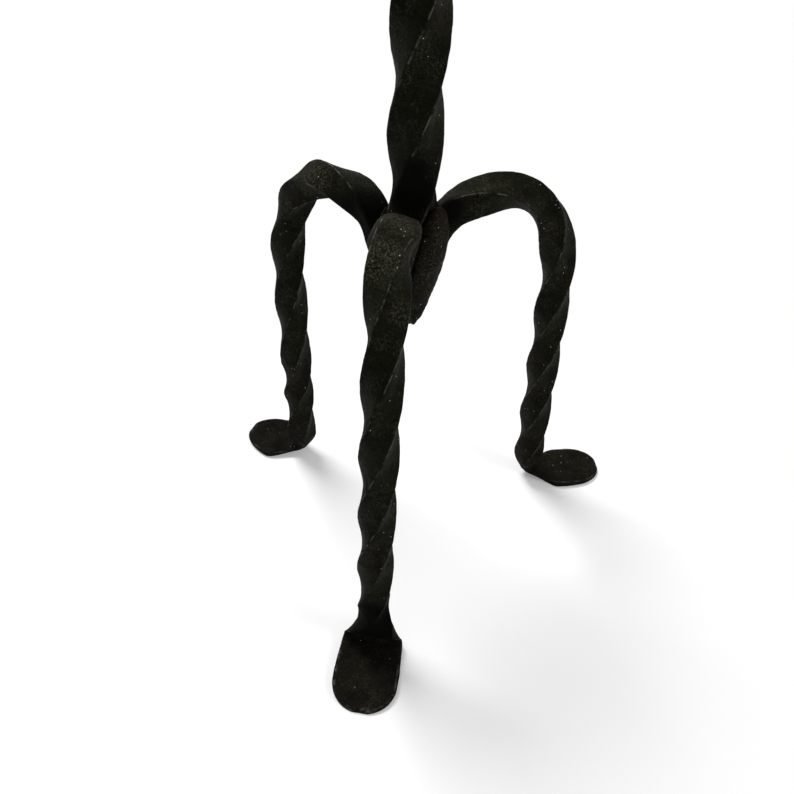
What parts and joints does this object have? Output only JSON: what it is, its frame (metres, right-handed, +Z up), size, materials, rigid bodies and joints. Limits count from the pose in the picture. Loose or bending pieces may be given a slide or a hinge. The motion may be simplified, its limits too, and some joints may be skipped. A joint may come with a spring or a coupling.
{
  "type": "torchere candle stand",
  "caption": "Floor-standing candle stand of twisted square iron bar, with arched tripod legs that end in hammered pads, a dished drip pan and a pricket.",
  "frame": {"origin": "middle of the footprint's bounding box, on the floor", "axes": "+Z up along the shaft, -Y towards the front leg, +X to the right when the front leg faces the viewer"},
  "size_m": [0.4468, 0.3834, 1.4179],
  "materials": {
    "blackened_iron": "blackened wrought iron, hammered, satin, worn lighter along its edges"
  },
  "bodies": {
    "root": {"shaft": "blackened_iron", "leg_front": "blackened_iron", "leg_rear_left": "blackened_iron", "leg_rear_right": "blackened_iron", "collar": "blackened_iron", "drip_pan": "blackened_iron", "pricket": "blackened_iron"}
  },
  "joints": []
}
